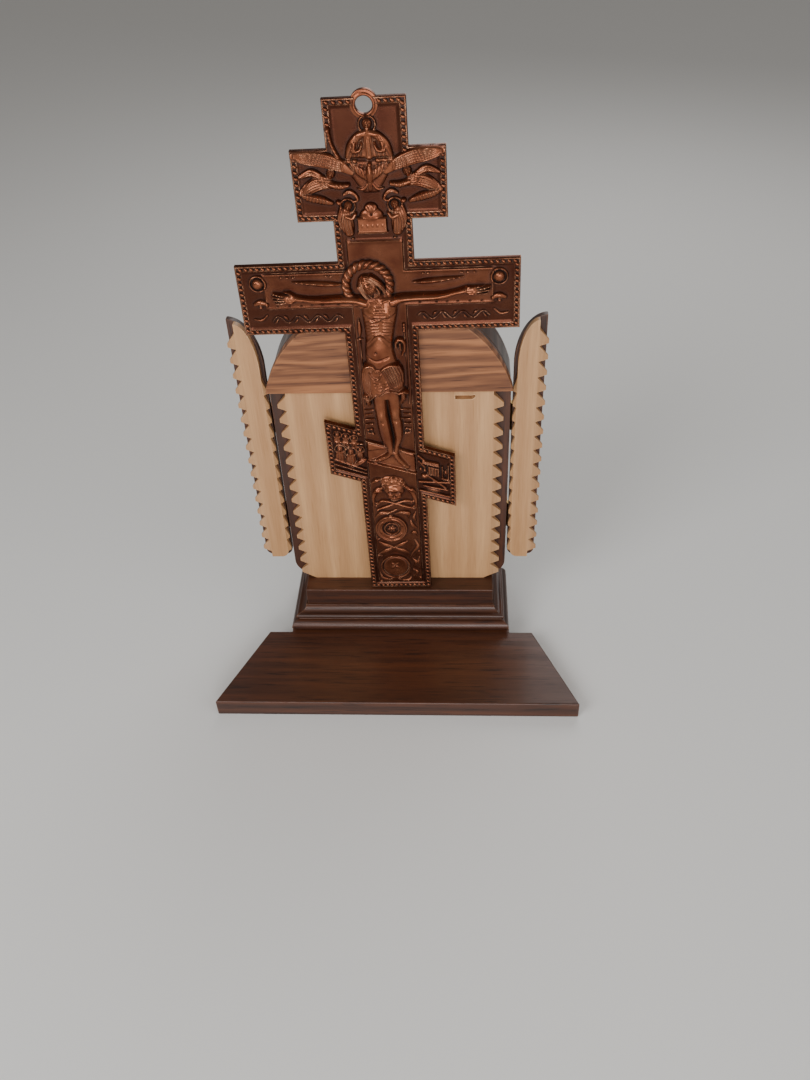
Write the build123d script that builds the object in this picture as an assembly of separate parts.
from build123d import *
import os
from math import cos, hypot, radians, sin, sqrt, tan

os.makedirs("parts", exist_ok=True)

# A table shrine: a cast eight-pointed cross leans on a narrow arched wooden case with two
# hinged side wings, which stands on a moulded base and a stepped, tapered plinth board.
# +Z is up, the front looks towards -Y, and the plinth's underside is at z = 0.

# Plinth board: a tapered apron in front, and a narrower tail that carries the base
plinth_front_width = 288.0
plinth_apron_back_width = 222.0
plinth_tail_width = 184.0
plinth_apron_depth = 77.0
plinth_depth = 150.0
plinth_thickness = 15.5

# Base block and the moulding round its foot
base_width = 156.0
base_height = 36.5
base_back_margin = 4.0
ledge_depth = 15.0
moulding_height = 20.5
torus_projection = 13.4
torus_radius = 5.0
astragal_projection = 9.4
astragal_radius = 2.0
fillet_projection = 1.5
fillet_height = 1.5
quirk = 1.5

# Arched case
case_width = 176.0
case_depth = 41.0
case_board = 6.0
case_corner_radius = 14.0
spring_height = 185.5

# Pale facing of the case, with bevelled and notched side edges
facing_thickness = 6.0
facing_width = 151.0
facing_corner_radius = 5.0
tooth_depth = 7.5
tooth_pitch = 12.7
tooth_end = 3.2
bevel_drop = 4.0
facing_margin = 3.0

# Arched head board
arch_board_chord = 178.0
arch_board_rise = 70.0
arch_board_proud = 3.8

# Side wings, each a dark leaf with a pale notched facing
wing_gap = 1.5
wing_width = 22.0
wing_setback = 3.5
wing_thickness = 5.0
wing_lift = 19.5
wing_spring_height = 200.0
wing_rise = 39.0
wing_corner_radius = 6.0
wing_facing_thickness = 5.0
wing_facing_inset = 1.5
wing_tooth_depth = 7.0
wing_inner_tooth = 2.5
wing_bevel_drop = 3.5

# Wing hinges, in the corner behind the wing's leaf
hinge_length = 24.0
hinge_barrel_radius = 2.4
hinge_pin_radius = 1.0
hinge_leaf = 1.0
hinge_leaf_width = 8.0
hinge_foot = 45.0
hinge_spacing = 95.0
hinge_clearance = 0.15

# Cast cross, laid out from its foot upwards
stem_width = 49.7
foot_height = 101.1
slant_beam_width = 94.5
slant_beam_height = 47.4
slant_angle = 19.25
shaft_height = 87.8
main_beam_width = 186.0
main_beam_height = 49.6
neck_height = 27.7
small_beam_width = 94.5
small_beam_height = 44.0
top_height = 28.8
cross_thickness = 2.8
rim_width = 4.0
rim_height = 1.8
hole_radius = 5.0
hole_drop = 4.5
hump_radius = 8.8
cross_offset = 2.3
cross_lean = 0.9
cross_tilt = 1.0
seat_gap = 0.1

# Relief on the cross: how far each kind of form stands above the field
field_cross_relief = 0.9
low_relief = 1.8
halo_relief = 2.4
tablet_relief = 2.6
limb_relief = 4.6
body_relief = 5.6
relief_slope = 22.0
relief_root = 0.8
head_radius = 6.6
head_length = 9.2
head_turn = 22.0
halo_radius = 17.5
halo_width = 6.0
medallion_radius = 12.4
medallion_width = 3.0
boss_radius = 5.0

# Derived places, worked out from the front of the plinth backwards
panel_y = plinth_depth / 2 - base_back_margin - case_depth
back_y = panel_y + case_depth
front_board_y = panel_y + facing_thickness
ledge_y = panel_y - ledge_depth
ledge_z = plinth_thickness + base_height
spring_z = ledge_z + spring_height
arch_radius = ((arch_board_chord / 2) ** 2 + arch_board_rise ** 2) / (2 * arch_board_rise)
arch_center_z = spring_z + arch_board_rise - arch_radius
case_arch_radius = hypot(case_width / 2, spring_z - arch_center_z)
arch_front_y = panel_y - arch_board_proud


def slab(face, front_y, thickness):
    """Extrudes a face drawn in the XZ plane backwards from front_y."""
    return Pos(0, front_y + thickness, 0) * extrude(face, amount=thickness)


def upright(points):
    """A closed face in the XZ plane through the given (x, z) points."""
    return Plane.XZ * make_face(Polyline(*points, close=True))


def board(x0, x1, y0, y1, z0, z1):
    """A plain rectangular board between two corners."""
    return Pos(x0, y0, z0) * Box(x1 - x0, y1 - y0, z1 - z0, align=(Align.MIN,) * 3)


# Plinth board
def plinth_board():
    front = plinth_front_width / 2
    step = plinth_apron_back_width / 2
    tail = plinth_tail_width / 2
    half = plinth_depth / 2
    step_y = -half + plinth_apron_depth
    outline = Polyline(
        (-front, -half), (front, -half), (step, step_y), (tail, step_y),
        (tail, half), (-tail, half), (-tail, step_y), (-step, step_y),
        close=True,
    )
    return extrude(make_face(outline), amount=plinth_thickness)


# Base block and moulding
def base_block():
    half = base_width / 2
    return board(-half, half, ledge_y, back_y, plinth_thickness, ledge_z)


def moulding_profile():
    """The foot moulding's section: x runs outwards from the block, y upwards."""
    torus_top = 2 * torus_radius
    bead_foot = torus_top + quirk
    bead_top = bead_foot + 2 * astragal_radius
    fillet_foot = moulding_height - fillet_height
    torus_back = torus_projection - torus_radius
    bead_back = astragal_projection - astragal_radius
    cove_sag = 0.7071 * (fillet_foot - bead_top)
    cove_mid = (fillet_projection + (bead_back - fillet_projection) * 0.3, bead_top + 0.3 * cove_sag)
    edges = [
        Line((0, 0), (torus_back, 0)),
        ThreePointArc((torus_back, 0), (torus_projection, torus_radius), (torus_back, torus_top)),
        Line((torus_back, torus_top), (bead_back, torus_top)),
        Line((bead_back, torus_top), (bead_back, bead_foot)),
        ThreePointArc(
            (bead_back, bead_foot),
            (astragal_projection, bead_foot + astragal_radius),
            (bead_back, bead_top),
        ),
        ThreePointArc((bead_back, bead_top), cove_mid, (fillet_projection, fillet_foot)),
        Line((fillet_projection, fillet_foot), (fillet_projection, moulding_height)),
        Line((fillet_projection, moulding_height), (0, moulding_height)),
        Line((0, moulding_height), (0, 0)),
    ]
    return make_face(edges)


def mouldings():
    """Front and side strips of the foot moulding, mitred at the front corners."""
    half = base_width / 2
    reach = half + torus_projection
    front_plane = Plane((reach, ledge_y, plinth_thickness), x_dir=(0, -1, 0), z_dir=(-1, 0, 0))
    front = extrude(front_plane * moulding_profile(), amount=2 * reach)
    front_plan = Polyline(
        (-half, ledge_y),
        (-reach, ledge_y - torus_projection),
        (reach, ledge_y - torus_projection),
        (half, ledge_y),
        close=True,
    )
    side_start = ledge_y - torus_projection
    side_plane = Plane((-half, side_start, plinth_thickness), x_dir=(-1, 0, 0), z_dir=(0, 1, 0))
    side = extrude(side_plane * moulding_profile(), amount=back_y - side_start)
    side_plan = Polyline(
        (-half, ledge_y),
        (-reach, side_start),
        (-reach, back_y),
        (-half, back_y),
        close=True,
    )
    front = front & (Pos(0, 0, plinth_thickness) * extrude(make_face(front_plan), amount=moulding_height))
    left = side & (Pos(0, 0, plinth_thickness) * extrude(make_face(side_plan), amount=moulding_height))
    return front, left, mirror(left, about=Plane.YZ)


# Arched case
def arched_face(half, radius, corner):
    """Case outline: rounded bottom corners, straight sides and a segmental head."""
    foot = ledge_z + corner
    slope = corner * (1 - sqrt(0.5))
    edges = [
        Line((-half + corner, ledge_z), (half - corner, ledge_z)),
        ThreePointArc((half - corner, ledge_z), (half - slope, ledge_z + slope), (half, foot)),
        Line((half, foot), (half, spring_z)),
        ThreePointArc((half, spring_z), (0, arch_center_z + radius), (-half, spring_z)),
        Line((-half, spring_z), (-half, foot)),
        ThreePointArc((-half, foot), (-half + slope, ledge_z + slope), (-half + corner, ledge_z)),
    ]
    return Plane.XZ * make_face(edges)


def case_boards():
    """Front and back boards, the two sides and the bent strip of the head."""
    half = case_width / 2
    outline = arched_face(half, case_arch_radius, case_corner_radius)
    front = slab(outline, front_board_y, case_board)
    back = slab(outline, back_y - case_board, case_board)
    inner_y = front_board_y + case_board
    inner_depth = back_y - case_board - inner_y
    side_foot = ledge_z + case_corner_radius
    left = board(-half, -half + case_board, inner_y, inner_y + inner_depth, side_foot, spring_z)
    right = mirror(left, about=Plane.YZ)
    ring = Circle(case_arch_radius) - Circle(case_arch_radius - case_board)
    strip = slab(Plane.XZ * Pos(0, arch_center_z) * ring, inner_y, inner_depth)
    above = board(-half, half, inner_y, inner_y + inner_depth, spring_z, spring_z + case_width)
    return front, back, left, right, strip & above


def tooth_edge(root, tip, foot, count):
    """Points up a notched edge: each tooth is flat below and slopes back above."""
    points = []
    for number in range(count):
        level = foot + number * tooth_pitch
        points += [(root, level), (tip, level), (tip, level + tooth_end)]
    return points + [(root, foot + count * tooth_pitch)]


def edge_bevel(root, tip, front_y, drop, foot, top):
    """The wedge that is planed off a notched edge, from nothing at the root to drop at the tips."""
    reach = tip - root
    plan = Polyline(
        (root, front_y), (root + 2 * reach, front_y + 2 * drop), (root + 2 * reach, front_y - drop),
        (root, front_y - drop),
        close=True,
    )
    return Pos(0, 0, foot) * extrude(make_face(plan), amount=top - foot)


def case_facing():
    """The pale board on the case's front, bevelled and notched down both edges."""
    root = facing_width / 2
    tip = root + tooth_depth
    foot = ledge_z + facing_margin
    count = int((spring_height - facing_margin) / tooth_pitch)
    right = [(root - facing_corner_radius, ledge_z)] + tooth_edge(root, tip, foot, count)
    right = right + [(root, spring_z)]
    left = [(-x, z) for x, z in reversed(right)]
    facing = slab(upright(right + left), panel_y, facing_thickness)
    wedge = edge_bevel(root, tip, panel_y, bevel_drop, ledge_z, spring_z)
    return facing - wedge - mirror(wedge, about=Plane.YZ)


def arch_board():
    half = arch_board_chord / 2
    edges = [
        Line((-half, spring_z), (half, spring_z)),
        ThreePointArc((half, spring_z), (0, arch_center_z + arch_radius), (-half, spring_z)),
    ]
    return slab(Plane.XZ * make_face(edges), arch_front_y, front_board_y - arch_front_y)


# Side wings
wing_inner = case_width / 2 + wing_gap
wing_foot = ledge_z + wing_lift
wing_spring_z = ledge_z + wing_spring_height
wing_front_y = panel_y + wing_setback
leaf_front_y = wing_front_y + wing_facing_thickness
leaf_back_y = leaf_front_y + wing_thickness
hinge_x = case_width / 2 + hinge_barrel_radius + hinge_clearance
hinge_y = leaf_back_y + hinge_barrel_radius + hinge_clearance


def wing_leaf():
    """Right wing's dark leaf: a quarter-arched head, highest at the free edge."""
    inner = wing_inner
    outer = wing_inner + wing_width
    top = wing_spring_z + wing_rise
    corner = wing_corner_radius
    slope = corner * (1 - sqrt(0.5))
    head = EllipticalCenterArc(
        (outer, wing_spring_z), outer - inner, wing_rise, start_angle=90, arc_size=90
    )
    edges = [
        Line((inner, wing_spring_z), (inner, wing_foot + corner)),
        ThreePointArc(
            (inner, wing_foot + corner), (inner + slope, wing_foot + slope), (inner + corner, wing_foot)
        ),
        Line((inner + corner, wing_foot), (outer - corner, wing_foot)),
        ThreePointArc(
            (outer - corner, wing_foot), (outer - slope, wing_foot + slope), (outer, wing_foot + corner)
        ),
        Line((outer, wing_foot + corner), (outer, top)),
        head,
    ]
    return slab(Plane.XZ * make_face(edges), leaf_front_y, wing_thickness)


def wing_facing():
    """Right wing's pale facing, bevelled and notched on both upright edges."""
    inner = wing_inner + wing_inner_tooth
    outer = wing_inner + wing_width + wing_facing_inset
    root = outer - wing_tooth_depth
    foot = wing_foot + wing_facing_inset
    top = wing_spring_z + wing_rise - wing_facing_inset
    teeth_foot = foot + wing_corner_radius
    outer_count = int((top - teeth_foot) / tooth_pitch)
    inner_count = int((wing_spring_z - teeth_foot) / tooth_pitch)
    inner_teeth = tooth_edge(inner, wing_inner, teeth_foot, inner_count)
    outer_teeth = tooth_edge(root, outer, teeth_foot, outer_count)
    head = EllipticalCenterArc(
        (root, wing_spring_z), root - inner, top - wing_spring_z, start_angle=90, arc_size=90
    )
    corner = wing_corner_radius
    slope = corner * (1 - sqrt(0.5))
    edges = [
        Line((inner, wing_spring_z), inner_teeth[-1]),
        Polyline(*reversed(inner_teeth)),
        ThreePointArc((inner, teeth_foot), (inner + slope, foot + slope), (inner + corner, foot)),
        Line((inner + corner, foot), (root, foot)),
        Line((root, foot), (root, teeth_foot)),
        Polyline(*outer_teeth),
        Line(outer_teeth[-1], (root, top)),
        head,
    ]
    facing = slab(Plane.XZ * make_face(edges), wing_front_y, wing_facing_thickness)
    outside = edge_bevel(root, outer, wing_front_y, wing_bevel_drop, foot, top)
    inside = edge_bevel(-inner, -wing_inner, wing_front_y, wing_inner_tooth, foot, top)
    return facing - outside - mirror(inside, about=Plane.YZ)


def hinge_parts():
    """Right side hinges: case leaves, wing leaves and pins, one of each at two heights."""
    case_leaf = []
    wing_leaf_plates = []
    pins = []
    third = hinge_length / 3
    bore = hinge_pin_radius + hinge_clearance
    low_align = (Align.CENTER, Align.CENTER, Align.MIN)
    side_x = case_width / 2
    reach = hinge_x + hinge_leaf_width
    clear = hinge_barrel_radius + hinge_clearance
    for number in range(2):
        z = ledge_z + hinge_foot + number * hinge_spacing
        ring = Circle(hinge_barrel_radius) - Circle(bore)
        low = Pos(hinge_x, hinge_y, z) * extrude(ring, amount=third - hinge_clearance)
        high = Pos(0, 0, 2 * third + hinge_clearance) * low
        middle = Pos(hinge_x, hinge_y, z + third) * extrude(ring, amount=third)
        core = Pos(hinge_x, hinge_y, z) * Cylinder(bore, hinge_length, align=low_align)
        plate = board(side_x, side_x + hinge_leaf, hinge_y, hinge_y + hinge_leaf_width, z, z + hinge_length)
        space = Cylinder(clear, third + 2 * hinge_clearance, align=low_align)
        space = Pos(hinge_x, hinge_y, z + third - hinge_clearance) * space
        case_leaf.append(plate + low + high - space - core)
        flat = board(hinge_x, reach, leaf_back_y, leaf_back_y + hinge_leaf, z, z + hinge_length)
        knuckle_space = Cylinder(clear, third + hinge_clearance, align=low_align)
        flat = flat - Pos(hinge_x, hinge_y, z - hinge_clearance) * knuckle_space
        flat = flat - Pos(hinge_x, hinge_y, z + 2 * third) * knuckle_space
        wing_leaf_plates.append(flat + middle - core)
        pin = Cylinder(hinge_pin_radius, hinge_length, align=low_align)
        pins.append(Pos(hinge_x, hinge_y, z) * pin)
    return Compound(children=case_leaf), Compound(children=wing_leaf_plates), Compound(children=pins)


# Cast cross, drawn upright with its foot at the origin and its back in the plane y = 0
slant_z = foot_height + slant_beam_height / 2
main_z = foot_height + slant_beam_height + shaft_height
small_z = main_z + main_beam_height + neck_height
cross_height = small_z + small_beam_height + top_height
field_y = -cross_thickness


def cross_outline(shrink):
    """The eight-pointed outline as one face, set in by shrink all round."""
    stem = stem_width / 2 - shrink
    half_slant = slant_beam_width / 2 - shrink
    half_tall = slant_beam_height / 2 - shrink / cos(radians(slant_angle))
    drop = half_slant * tan(radians(slant_angle))
    slant = Polyline(
        (-half_slant, slant_z + drop - half_tall),
        (half_slant, slant_z - drop - half_tall),
        (half_slant, slant_z - drop + half_tall),
        (-half_slant, slant_z + drop + half_tall),
        close=True,
    )
    face = make_face(Polyline(
        (-stem, shrink), (stem, shrink), (stem, cross_height - shrink), (-stem, cross_height - shrink),
        close=True,
    ))
    face += make_face(slant)
    for foot, width, height in (
        (main_z, main_beam_width, main_beam_height),
        (small_z, small_beam_width, small_beam_height),
    ):
        half = width / 2 - shrink
        beam = Polyline(
            (-half, foot + shrink), (half, foot + shrink),
            (half, foot + height - shrink), (-half, foot + height - shrink),
            close=True,
        )
        face += make_face(beam)
    return face


def raised(points, height):
    """A form raised from the cross's field: an outline in (across, up) whose sides slope inwards."""
    xs = [x for x, z in points]
    zs = [z for x, z in points]
    mid_x, mid_z = (min(xs) + max(xs)) / 2, (min(zs) + max(zs)) / 2
    inset = height * tan(radians(relief_slope))
    keep_x = 1 - 2 * inset / (max(xs) - min(xs))
    keep_z = 1 - 2 * inset / (max(zs) - min(zs))
    crown = [(mid_x + (x - mid_x) * keep_x, mid_z + (z - mid_z) * keep_z) for x, z in points]
    foot = Pos(0, field_y + relief_root, 0) * upright(points)
    crest = Pos(0, field_y - height, 0) * upright(crown)
    return loft([foot, crest], ruled=True)


def raised_ring(across, up, radius, width, height):
    face = Plane.XZ * Pos(across, up) * (Circle(radius) - Circle(radius - width))
    return Pos(0, field_y + relief_root, 0) * extrude(face, amount=height + relief_root)


def rounded(across, up, radius, length, turn, sink):
    """An egg form with its long axis turned in the cross's plane, its centre sink behind the field."""
    half = make_face([
        EllipticalCenterArc((0, 0), radius, length, start_angle=-90, arc_size=180),
        Line((0, length), (0, -length)),
    ])
    lean = radians(turn)
    place = Plane(
        (across, field_y + sink, up), x_dir=(cos(lean), 0, -sin(lean)), z_dir=(0, -1, 0)
    )
    return place * revolve(half, Axis.Y)


def field_cross():
    """The low plain cross behind the figure."""
    stem = board(-17, 17, field_y - field_cross_relief, field_y + relief_root, 150, main_z + 42)
    bar = board(-76, 76, field_y - field_cross_relief, field_y + relief_root, main_z + 19, main_z + 38)
    return [stem, bar]


def figure():
    """The figure with outstretched arms, its footrest and the mound below."""
    forms = [
        raised([(-14, 265), (12, 265), (10, 250), (7, 236), (5.5, 226), (8, 210),
                (-11, 210), (-8.5, 226), (-10, 236), (-12.5, 250)], body_relief),
        raised([(-16, 214), (13, 215), (14, 198), (11, 184), (-3, 180), (-14, 186)], body_relief),
        raised([(-8, 190), (9, 190), (8, 170), (7, 158), (9, 140), (12, 122),
                (3, 122), (-2, 140), (-4, 158), (-6, 172)], limb_relief),
        raised([(-17.5, 145), (17.5, 130.5), (18, 113.5), (-17.5, 129)], low_relief),
        rounded(0, 100.5, 8.5, 7.5, 0, 2.0),
        raised([(-18, 87), (18, 83), (12, 97), (-12, 101)], low_relief),
        raised_ring(-6, 271, halo_radius, halo_width, halo_relief),
        rounded(-5.5, 271, head_radius, head_length, head_turn, -1.0),
    ]
    for side, hand_up in ((-1, 263), (1, 264.5)):
        arm = [(side * 10, 265.5), (side * 44, 264.5), (side * 44, 258.5), (side * 10, 257.5)]
        hand = [(side * 42, 264), (side * 56, 269), (side * 75, 267), (side * 76, 258.5), (side * 42, 259)]
        forms.append(raised(arm, limb_relief - 1))
        forms.append(raised(hand, limb_relief - 1.5))
        forms.append(rounded(side * 79, hand_up + 9.5, boss_radius, boss_radius, 0, 2.0))
        forms.append(raised([(side * 24, 274), (side * 38, 277.5), (side * 56, 275), (side * 38, 271)], low_relief))
    return forms


def small_reliefs():
    """Tablet, busts, medallions and the gatherings on the slanting beam."""
    forms = [
        raised([(-9.5, 306), (8.5, 306), (8.5, 316), (-9.5, 316)], tablet_relief),
        rounded(-0.5, 316, 8.0, 6.5, 0, 3.0),
        raised([(-8.5, 326), (8.5, 326), (8.5, 343), (-8.5, 343)], low_relief),
        raised([(-17, 354), (17, 354), (6, 371), (-4, 371)], low_relief),
        rounded(1.0, 372.5, 4.2, 5.0, 0, 0.5),
        raised_ring(-5, 64, medallion_radius, medallion_width, low_relief),
        raised_ring(-3.5, 23.7, medallion_radius, medallion_width, low_relief),
        rounded(-5, 64, 4.5, 5.5, 0, 2.0),
        rounded(-3.5, 23.7, 4.5, 5.5, 0, 2.0),
    ]
    for side in (-1, 1):
        forms.append(rounded(side * 15, 315, 4.0, 7.0, side * 12, 1.0))
        forms.append(rounded(side * 26, 338, 4.5, 9.0, side * -15, 1.5))
        forms.append(raised([(side * 28, 322), (side * 42, 328), (side * 41, 348), (side * 30, 342)], low_relief))
        for number in range(3):
            across = side * (29 + 6 * number)
            level = slant_z - across * tan(radians(slant_angle))
            forms.append(rounded(across, level - 1, 3.0, 11.0 - 1.5 * number, 0, 0.6))
    return forms


def cast_cross():
    """Plate with a raised rim, a humped hanging hole and the cast relief."""
    hole_z = cross_height - hole_drop
    hump = Plane.XZ * Pos(0, hole_z) * Circle(hump_radius)
    plate = extrude(Plane.XZ * cross_outline(0) + hump, amount=cross_thickness + rim_height)
    sunk = extrude(Plane.XZ * cross_outline(rim_width), amount=cross_thickness + 2 * rim_height)
    sunk = sunk & board(-200, 200, -20, field_y, 0, 500)
    hole = Pos(0, 0, hole_z) * Rot(X=90) * Cylinder(hole_radius, 4 * cross_thickness)
    space = board(-200, 200, -60, field_y + relief_root, 0, 500)
    cross = plate - sunk - hole
    for form in field_cross() + figure() + small_reliefs():
        cross += form & space
    return cross


def placed_cross():
    """Leans the cross back against the head board's top edge, a little off plumb."""
    crown_z = arch_center_z + arch_radius
    lean = radians(cross_lean)
    tilt = radians(cross_tilt)
    foot_y = arch_front_y - seat_gap - (crown_z - ledge_z) * tan(lean)
    foot_lift = stem_width / 2 * sin(tilt)
    place = Pos(cross_offset, foot_y, ledge_z + foot_lift + seat_gap)
    return place * Rot(X=-cross_lean) * Rot(Y=-cross_tilt) * cast_cross()


front_moulding, left_moulding, right_moulding = mouldings()
front_board, back_board, left_side, right_side, head_strip = case_boards()
case_leaves, wing_leaves, hinge_pins = hinge_parts()

pieces = {
    "plinth_board": plinth_board(),
    "base_block": base_block(),
    "base_moulding_front": front_moulding,
    "base_moulding_left": left_moulding,
    "base_moulding_right": right_moulding,
    "case_front_board": front_board,
    "case_back_board": back_board,
    "case_side_left": left_side,
    "case_side_right": right_side,
    "case_head_strip": head_strip,
    "case_facing": case_facing(),
    "arch_board": arch_board(),
    "cast_cross": placed_cross(),
}
for name, solid in (
    ("wing_leaf", wing_leaf()),
    ("wing_facing", wing_facing()),
    ("hinge_case_leaves", case_leaves),
    ("hinge_wing_leaves", wing_leaves),
    ("hinge_pins", hinge_pins),
):
    pieces[name + "_right"] = solid
    pieces[name + "_left"] = mirror(solid, about=Plane.YZ)

for name, solid in pieces.items():
    export_step(solid, "parts/" + name + ".step")
